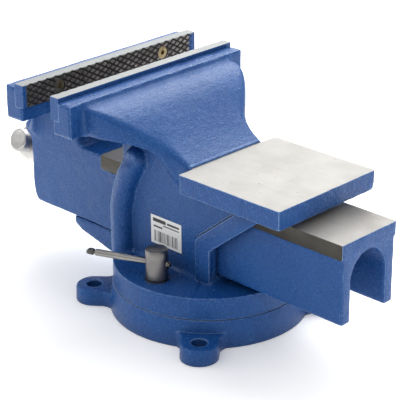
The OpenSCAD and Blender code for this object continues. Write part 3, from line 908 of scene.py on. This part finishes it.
def make_sticker():
    """Small white retail label with plain bars and stripes, no lettering."""
    # Side face of the label, then its edges in y and z; each mark is y0, y1, z0, z1.
    x, y0, y1, z0, z1 = 39.82, -28.7, 6.9, 60.8, 86.3
    rng = np.random.default_rng(5)
    marks = [(y0 + 2.4, y0 + 17.5, z1 - 5.6, z1 - 2.4), (y0 + 19.0, y1 - 2.6, z1 - 5.0, z1 - 3.2),
             (y0 + 14.5, y1 - 2.6, z1 - 7.6, z1 - 6.6), (y0 + 3.2, y0 + 13.5, z1 - 10.4, z1 - 8.9)]
    y = y0 + 4.0
    while y < y1 - 4.2:
        w = 0.42 * rng.integers(1, 4)
        marks.append((y, min(y + w, y1 - 3.8), z0 + 2.2, z0 + 12.2))
        y += w + 0.36 * rng.integers(1, 4)
    ys = sorted({y0, y1, *[m[0] for m in marks], *[m[1] for m in marks]})
    zs = sorted({z0, z1, *[m[2] for m in marks], *[m[3] for m in marks]})
    bm = bmesh.new()
    verts = [[bm.verts.new((x * MM, a * MM, b * MM)) for b in zs] for a in ys]
    for i in range(len(ys) - 1):
        for j in range(len(zs) - 1):
            face = bm.faces.new((verts[i][j], verts[i + 1][j], verts[i + 1][j + 1], verts[i][j + 1]))
            cy, cz = (ys[i] + ys[i + 1]) / 2, (zs[j] + zs[j + 1]) / 2
            inked = any(m[0] < cy < m[1] and m[2] < cz < m[3] for m in marks)
            face.material_index = 1 if inked else 0
    me = bpy.data.meshes.new("sticker")
    bm.to_mesh(me)
    bm.free()
    ob = new_object("sticker", me)
    paper = ob.modifiers.new("paper", "SOLIDIFY")
    paper.thickness, paper.offset = 0.00012, 0.0
    bake(ob)
    ob.data.materials.append(label_paper("label_white", (0.82, 0.83, 0.82)))
    ob.data.materials.append(label_paper("label_ink", (0.006, 0.007, 0.009)))
    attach(ob, "vise")


# ---------------------------------------------------------------- materials and pieces

PAINT = blue_paint()
# Same paint with a weaker painted edge highlight, for the painted ends of the jaw plates.
PLATE_PAINT = blue_paint("plate_paint", 0.2)
ANVIL = ground_steel("anvil_top", tint=(0.33, 0.32, 0.30), stain=(0.295, 0.282, 0.26), lines=(900, 30, 900),
                     rough=(0.42, 0.52), amount=0.35, metal=0.35)
BEAM_TOP = ground_steel("beam_top", tint=(0.31, 0.298, 0.28), stain=(0.22, 0.2, 0.175), lines=(900, 25, 900),
                        rough=(0.42, 0.55), amount=0.5, metal=0.35)
BEAM_SIDE = ground_steel("beam_side", tint=(0.085, 0.08, 0.07), stain=(0.055, 0.045, 0.034),
                         lines=(900, 25, 900), rough=(0.40, 0.55), amount=0.8)
PLATE_TOP = ground_steel("plate_top", tint=(0.205, 0.217, 0.22), stain=(0.18, 0.186, 0.184),
                         lines=(25, 900, 900), rough=(0.3, 0.42), amount=0.3, metal=0.5)
GROOVE = black_groove()
DIAMOND = diamond_top()
SCREW_STEEL = turned_steel("screw_steel", "Y", (0.56, 0.545, 0.52))
KNOB_STEEL = turned_steel("knob_steel", "X", (0.52, 0.51, 0.5), (0.36, 0.5), 900)
BAR_STEEL = turned_steel("bar_steel", "X", (0.33, 0.32, 0.305), (0.26, 0.36), 40, 0.000006)
# Darker steel for both ends of the lock bars: painted shade.
BAR_END_SHADE = turned_steel("bar_end_shade", "X", (0.13, 0.127, 0.12), (0.22, 0.34), 40, 0.000006)
NUT_STEEL = turned_steel("nut_steel", "Z", (0.23, 0.22, 0.215), (0.30, 0.44), 1300)
ZINC = yellow_zinc()
IRON = bare_iron()

make_body()
make_moving_jaw()
make_base()
make_plate("plate_fixed", "fixed_jaw_plate", "vise", FIX_FACE, 1)
make_plate("plate_moving", "moving_jaw_plate", "slide", MOV_FACE, -1)
make_screw()
make_handle()
make_lock(1, "near")
make_lock(-1, "far")
make_sticker()

# Pieces that keep their CAD shape.
KEPT = {ZINC: ["fixed_plate_screws", "moving_plate_screws"],
        IRON: ["lead_nut", "distance_sleeve", "retaining_collar"],
        SCREW_STEEL: ["thrust_washer", "collar_pin", "nut_bolt", "nut_washer"],
        NUT_STEEL: ["lock_bolt_near", "lock_bolt_far", "lock_washer_near", "lock_washer_far"]}
for material, nodes in KEPT.items():
    for node in nodes:
        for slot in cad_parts[node].material_slots:
            slot.material = material


# ---------------------------------------------------------------- stage, light, camera

def make_floor():
    """Plain pale paper, a little below the feet and slightly lit of its own."""
    bm = bmesh.new()
    bmesh.ops.create_grid(bm, x_segments=8, y_segments=8, size=6.0)
    me = bpy.data.meshes.new("floor")
    bm.to_mesh(me)
    bm.free()
    ob = new_object("floor", me)
    m = Mat("floor_paper")
    m.out(Base_Color=m.ramp(m.noise(3, 2), [(0.3, 0.95), (0.7, 0.97)]), Roughness=0.7,
          Emission_Color=(1.0, 1.0, 1.0), Emission_Strength=0.2)
    ob.data.materials.append(m.m)
    ob.location.z = -0.0003


def area(name, where, target, size, power):
    """Soft round light aimed at a target, in metres."""
    light = bpy.data.lights.new(name, "AREA")
    light.shape, light.size, light.energy = "DISK", size, power
    ob = bpy.data.objects.new(name, light)
    bpy.context.scene.collection.objects.link(ob)
    ob.location = where
    ob.rotation_euler = (Vector(target) - Vector(where)).to_track_quat("-Z", "Y").to_euler()


def make_camera():
    """Camera at the photograph's viewing angle, place and focal length."""
    az, el, roll = math.radians(134.57), math.radians(23.49), math.radians(-0.49)
    back = Vector((math.sin(az) * math.cos(el), -math.cos(az) * math.cos(el), math.sin(el)))
    right = (-back).cross(Vector((0, 0, 1))).normalized()
    up = right.cross(-back)
    right, up = (math.cos(roll) * right + math.sin(roll) * up, math.cos(roll) * up - math.sin(roll) * right)
    data = bpy.data.cameras.new("camera")
    ob = bpy.data.objects.new("camera", data)
    bpy.context.scene.collection.objects.link(ob)
    turn = Matrix((right, up, back)).transposed().to_4x4()
    turn.translation = Vector((0.88466, 0.86090, 0.63090))
    ob.matrix_world = turn
    data.sensor_width = 36.0
    data.lens = 145.5696  # mm on the 36 mm sensor
    bpy.context.scene.camera = ob


def make_world():
    """Plain grey surround that gets brighter upwards."""
    world = bpy.data.worlds.new("studio")
    world.use_nodes = True
    sky = world.node_tree
    coord = sky.nodes.new("ShaderNodeTexCoord")
    split = sky.nodes.new("ShaderNodeSeparateXYZ")
    ramp = sky.nodes.new("ShaderNodeValToRGB")
    sky.links.new(coord.outputs["Generated"], split.inputs["Vector"])
    sky.links.new(split.outputs["Z"], ramp.inputs["Fac"])
    for k, (at, grey) in enumerate(((0.0, 0.26), (0.25, 0.5), (0.7, 1.0))):
        stop = ramp.color_ramp.elements[k] if k < 2 else ramp.color_ramp.elements.new(at)
        stop.position, stop.color = at, (grey, grey, grey, 1)
    sky.links.new(ramp.outputs["Color"], sky.nodes["Background"].inputs["Color"])
    sky.nodes["Background"].inputs["Strength"].default_value = 1.0
    bpy.context.scene.world = world


make_floor()
area("overhead", (-0.9, -0.5, 1.3), (0, 0, 0.12), 1.7, 24)
area("neck", (-1.15, 0.85, 0.95), (0, 0, 0.14), 0.8, 4.0)
area("behind", (-1.5, -1.4, 0.8), (0, 0, 0.12), 1.3, 4.5)
area("left", (1.1, -1.5, 0.9), (0, 0, 0.1), 0.8, 4)
make_world()
bpy.context.scene.view_settings.view_transform = "Standard"
make_camera()

bpy.context.view_layer.update()
